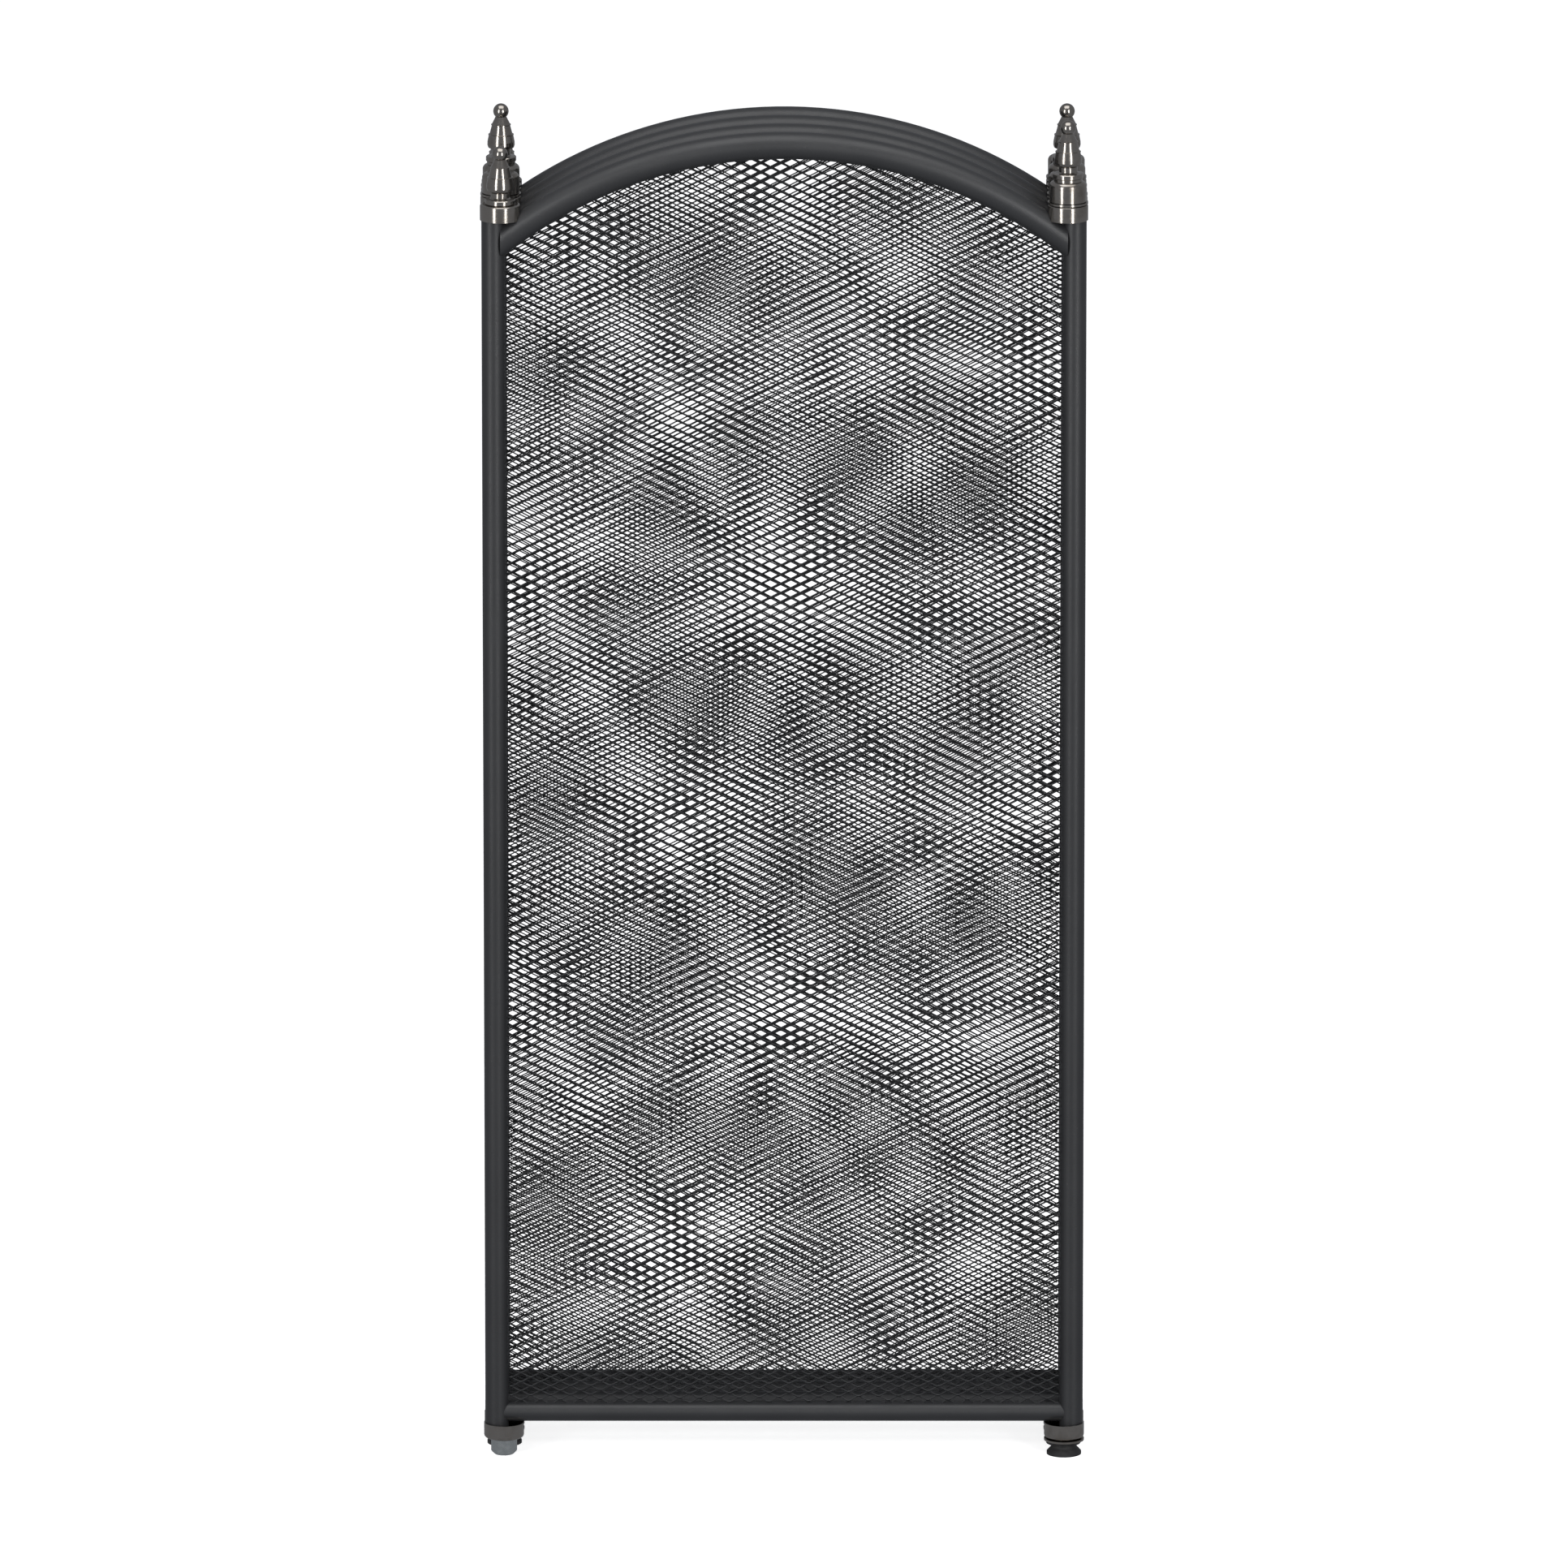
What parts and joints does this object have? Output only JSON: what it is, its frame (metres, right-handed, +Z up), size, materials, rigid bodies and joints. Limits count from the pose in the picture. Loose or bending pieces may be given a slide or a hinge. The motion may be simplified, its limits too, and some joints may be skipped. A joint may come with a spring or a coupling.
{
  "type": "fireplace screen",
  "caption": "Arched folding fireplace screen of tube-framed expanded-metal panels, joined by turning link plates with turned finials, folded flat as a stack.",
  "frame": {"origin": "on the floor, under the middle of the folded stack", "axes": "+Z up, +X along the panels' width, +Y from the front panel to the rear one"},
  "size_m": [0.347, 0.0952, 0.7871],
  "materials": {
    "powder_coat": "satin graphite powder coat",
    "mesh": "satin graphite powder coat on expanded steel",
    "nickel": "dark polished nickel plate",
    "zinc": "bright zinc plate",
    "rubber": "matt moulded rubber"
  },
  "bodies": {
    "link_12": {"link_12_bottom_plate": "nickel", "link_12_top_plate": "nickel"},
    "link_23": {"link_23_bottom_plate": "nickel", "link_23_top_plate": "nickel"},
    "link_34": {"link_34_bottom_plate": "nickel", "link_34_top_plate": "nickel"},
    "panel_1": {"panel_1_arch": "powder_coat", "panel_1_bottom_cups": "nickel", "panel_1_bottom_rail": "powder_coat", "panel_1_left_finial": "nickel", "panel_1_left_nut": "zinc", "panel_1_left_post": "powder_coat", "panel_1_mesh": "mesh", "panel_1_right_bell": "nickel", "panel_1_right_finial": "nickel", "panel_1_right_post": "powder_coat", "panel_1_rubber_feet": "rubber", "panel_1_studs": "zinc", "panel_1_top_cups": "nickel"},
    "panel_2": {"panel_2_arch": "powder_coat", "panel_2_bottom_cups": "nickel", "panel_2_bottom_rail": "powder_coat", "panel_2_left_cap": "nickel", "panel_2_left_post": "powder_coat", "panel_2_mesh": "mesh", "panel_2_right_cap": "nickel", "panel_2_right_post": "powder_coat", "panel_2_rubber_feet": "rubber", "panel_2_studs": "zinc", "panel_2_top_cups": "nickel"},
    "panel_3": {"panel_3_arch": "powder_coat", "panel_3_bottom_cups": "nickel", "panel_3_bottom_rail": "powder_coat", "panel_3_left_bell": "nickel", "panel_3_left_finial": "nickel", "panel_3_left_post": "powder_coat", "panel_3_mesh": "mesh", "panel_3_right_bell": "nickel", "panel_3_right_finial": "nickel", "panel_3_right_post": "powder_coat", "panel_3_rubber_feet": "rubber", "panel_3_studs": "zinc", "panel_3_top_cups": "nickel"},
    "panel_4": {"panel_4_arch": "powder_coat", "panel_4_bottom_cups": "nickel", "panel_4_bottom_rail": "powder_coat", "panel_4_left_finial": "nickel", "panel_4_left_nut": "zinc", "panel_4_left_post": "powder_coat", "panel_4_mesh": "mesh", "panel_4_right_cap": "nickel", "panel_4_right_post": "powder_coat", "panel_4_rubber_feet": "rubber", "panel_4_studs": "zinc", "panel_4_top_cups": "nickel"}
  },
  "joints": [
    {"name": "link_12_turn", "type": "hinge", "parent": "panel_1", "child": "link_12", "pos_m": [0.16195, -0.036, 0.4], "axis": [0, 0, -1], "range_deg": [0, 90]},
    {"name": "panel_2_turn", "type": "hinge", "parent": "link_12", "child": "panel_2", "pos_m": [0.16195, -0.012, 0.4], "axis": [0, 0, -1], "range_deg": [0, 90]},
    {"name": "link_23_turn", "type": "hinge", "parent": "panel_2", "child": "link_23", "pos_m": [-0.16195, -0.012, 0.4], "axis": [0, 0, 1], "range_deg": [0, 90]},
    {"name": "panel_3_turn", "type": "hinge", "parent": "link_23", "child": "panel_3", "pos_m": [-0.16195, 0.012, 0.4], "axis": [0, 0, 1], "range_deg": [0, 90]},
    {"name": "link_34_turn", "type": "hinge", "parent": "panel_3", "child": "link_34", "pos_m": [0.16195, 0.012, 0.4], "axis": [0, 0, -1], "range_deg": [0, 90]},
    {"name": "panel_4_turn", "type": "hinge", "parent": "link_34", "child": "panel_4", "pos_m": [0.16195, 0.036, 0.4], "axis": [0, 0, -1], "range_deg": [0, 90]}
  ]
}
